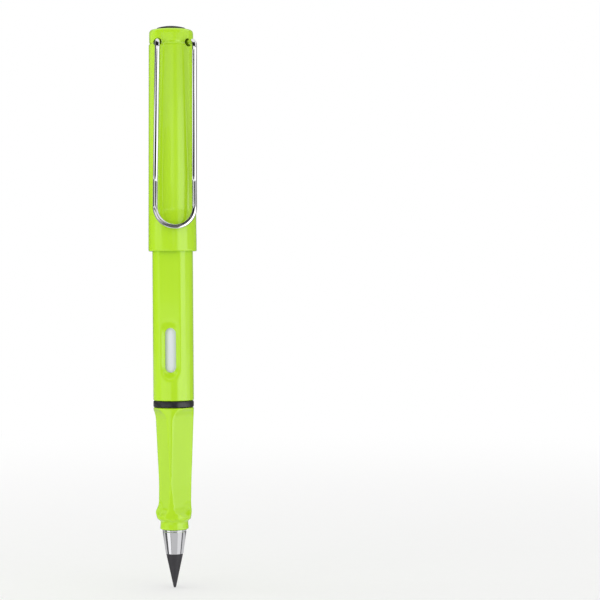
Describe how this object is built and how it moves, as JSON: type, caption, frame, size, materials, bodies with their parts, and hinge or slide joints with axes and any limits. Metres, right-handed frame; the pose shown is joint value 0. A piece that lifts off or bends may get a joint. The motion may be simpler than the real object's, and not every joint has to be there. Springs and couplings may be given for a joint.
{
  "type": "everlasting pencil",
  "caption": "Everlasting pencil with a graphite alloy tip in a chromed ferrule, finger-facet grip, windowed barrel and a posted cap with a wire clip.",
  "frame": {"origin": "on the pencil's axis where the fingers hold the grip, 33.4 mm above the writing point", "axes": "+Z along the pencil from the writing point to the cap's head, -Y out of the barrel flat with the front window and over the grip's ridge"},
  "size_m": [0.0151, 0.0166, 0.1573],
  "materials": {
    "graphite_alloy": "dark grey graphite alloy, satin",
    "ferrule_chrome": "mirror chrome",
    "green_plastic": "lime green, high gloss",
    "black_plastic": "black, semi gloss",
    "white_plastic": "milky white, satin",
    "clip_wire": "chromed spring wire"
  },
  "bodies": {
    "grip": {"grip_section": "green_plastic", "threaded_coupling": "black_plastic", "inner_tube": "white_plastic"},
    "tip": {"lead_tip": "graphite_alloy", "ferrule": "ferrule_chrome"},
    "ring": {"seal_ring": "black_plastic"},
    "barrel": {"barrel": "green_plastic"},
    "cap": {"cap_shell": "green_plastic", "cap_liner": "black_plastic", "cap_finial": "black_plastic"},
    "clip": {"clip": "clip_wire"}
  },
  "joints": [
    {"name": "tip_out", "type": "slide", "parent": "grip", "child": "tip", "axis": [0, 0, -1], "range_m": [0, 0.009]},
    {"name": "barrel_lift", "type": "slide", "parent": "grip", "child": "ring", "axis": [0, 0, 1], "range_m": [0, 0.00501]},
    {"name": "barrel_turn", "type": "hinge", "parent": "ring", "child": "barrel", "pos_m": [0, 0, 0.01916], "axis": [0, 0, 1], "range_deg": [0, 1800]},
    {"name": "cap_pull", "type": "slide", "parent": "barrel", "child": "cap", "axis": [0, 0, 1], "range_m": [0, 0.04]},
    {"name": "clip_flex", "type": "hinge", "parent": "cap", "child": "clip", "pos_m": [0.00122, -0.00425, 0.11886], "axis": [-0.9613, -0.2756, 0], "range_deg": [0, 4], "stiffness_Nm_per_rad": 0.3}
  ],
  "couplings": [
    {"joint": "barrel_lift", "follows": "barrel_turn", "m_per_rad": 0.00015915}
  ]
}
